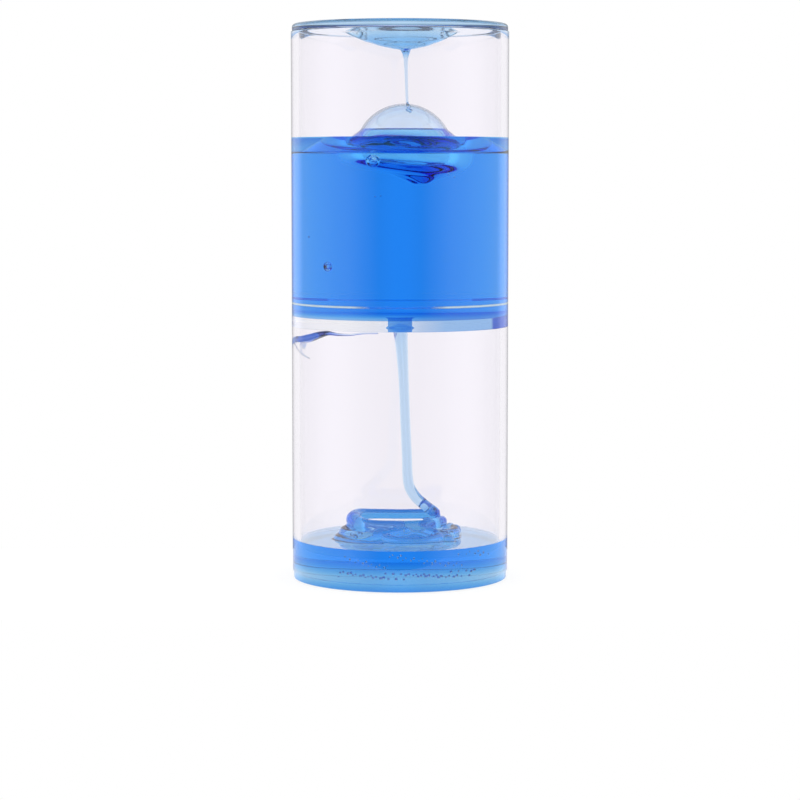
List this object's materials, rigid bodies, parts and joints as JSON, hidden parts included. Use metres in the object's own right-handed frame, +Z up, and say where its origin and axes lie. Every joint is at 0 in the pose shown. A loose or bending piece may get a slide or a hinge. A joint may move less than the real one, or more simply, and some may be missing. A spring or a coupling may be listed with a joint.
{
  "type": "liquid motion timer",
  "caption": "Sealed clear cylinder with end caps and a pierced partition; thick blue goo drains from the upper chamber, folds onto a pool below, and air rises as a bubble.",
  "frame": {"origin": "centre of the bottom face, on the surface that the timer stands on", "axes": "+Z up along the tube, -Y towards the front of the picture, +X to its right"},
  "size_m": [0.06, 0.06, 0.153],
  "materials": {
    "acrylic": "clear, polished",
    "cement": "clear, cured",
    "goo": "clear blue liquid, wet",
    "goo_film": "thin clear blue liquid, wet"
  },
  "bodies": {
    "vessel": {"lower_tube": "acrylic", "upper_tube": "acrylic", "bottom_cap": "acrylic", "top_cap": "acrylic", "partition": "acrylic", "bottom_cap_seal": "cement", "top_cap_seal": "cement", "lap_joint_seal": "cement", "upper_goo": "goo", "ceiling_film": "goo_film", "drip_thread": "goo_film", "wall_run": "goo", "goo_stream": "goo_film", "lower_pool": "goo"},
    "pile": {"goo_fold": "goo", "goo_mound": "goo"},
    "bubble": {"bubble_dome": "goo_film"}
  },
  "joints": [
    {"name": "lower_level_rise", "type": "slide", "parent": "vessel", "child": "pile", "axis": [0, 0, 1], "range_m": [0, 0.042], "deforming": ["lower_pool", "goo_stream"]},
    {"name": "upper_level_fall", "type": "slide", "parent": "vessel", "child": "bubble", "axis": [0, 0, 1], "range_m": [-0.042, 0], "deforming": ["upper_goo", "drip_thread"]}
  ],
  "couplings": [
    {"joint": "upper_level_fall", "follows": "lower_level_rise", "ratio": -1}
  ]
}
